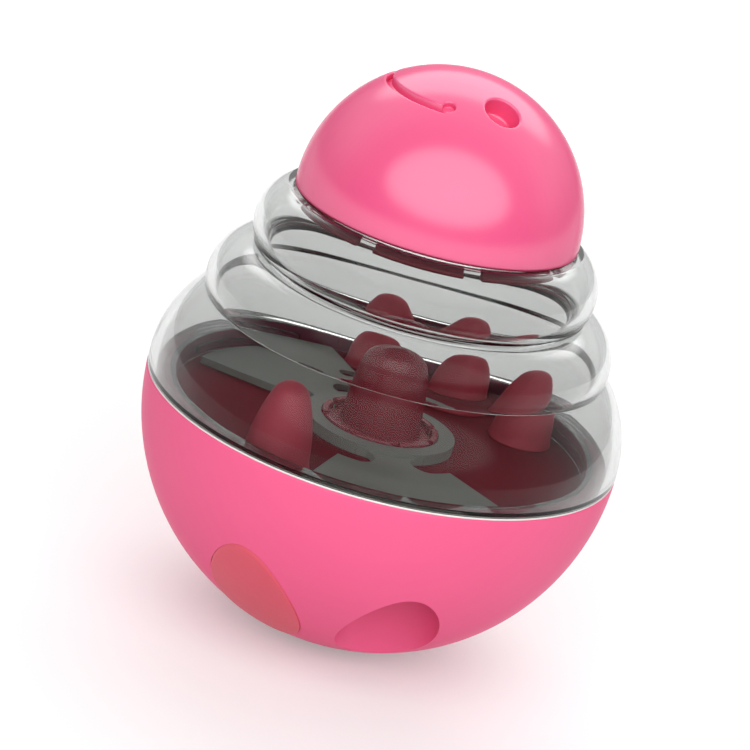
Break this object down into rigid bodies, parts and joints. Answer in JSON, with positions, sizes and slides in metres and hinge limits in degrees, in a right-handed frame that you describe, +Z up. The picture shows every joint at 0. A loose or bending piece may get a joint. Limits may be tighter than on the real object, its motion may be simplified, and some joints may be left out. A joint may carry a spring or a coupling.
{
  "type": "treat dispenser tumbler",
  "caption": "Self-righting pet treat dispenser: weighted pink bowl with an open drop tube and rubber pegs, a clear ringed body that twists off, a turning selector plate and a smiling dome cap.",
  "frame": {"origin": "middle of the flat foot under the bowl, on the surface it stands on", "axes": "+Z up along the axis of the bowl and dome, the open treat outlet faces -Y"},
  "size_m": [0.1, 0.1, 0.1234],
  "materials": {
    "pink_shell": "moulded gloss",
    "pink_post": "moulded gloss",
    "peg_rubber": "moulded satin",
    "smoky_clear": "clear, lightly smoked, polished",
    "grey_plastic": "moulded matte",
    "seal_silicone": "matte silicone",
    "ballast_iron": "rough cast",
    "cover_plastic": "moulded matte",
    "screw_steel": "zinc plated"
  },
  "bodies": {
    "base": {"base_shell": "pink_shell", "peg_tray": "pink_shell", "peg_front_left": "peg_rubber", "peg_right": "peg_rubber", "peg_back_right": "peg_rubber", "peg_back": "peg_rubber", "ballast_weight": "ballast_iron", "ballast_cover": "cover_plastic", "ballast_screw": "screw_steel"},
    "seal": {"seam_seal": "seal_silicone"},
    "upper": {"clear_body": "smoky_clear", "dome_cap": "pink_shell"},
    "selector": {"selector_plate": "grey_plastic", "center_post": "pink_post", "post_washer": "screw_steel", "post_screw": "screw_steel"}
  },
  "joints": [
    {"name": "lift_off", "type": "slide", "parent": "base", "child": "seal", "axis": [0, 0, 1], "range_m": [0, 0.06]},
    {"name": "twist_lock", "type": "hinge", "parent": "seal", "child": "upper", "pos_m": [0, 0, 0.0492], "axis": [0, 0, 1], "range_deg": [0, 60]},
    {"name": "selector_turn", "type": "hinge", "parent": "base", "child": "selector", "pos_m": [0, 0, 0.044], "axis": [0, 0, 1], "range_deg": [0, 60]}
  ]
}
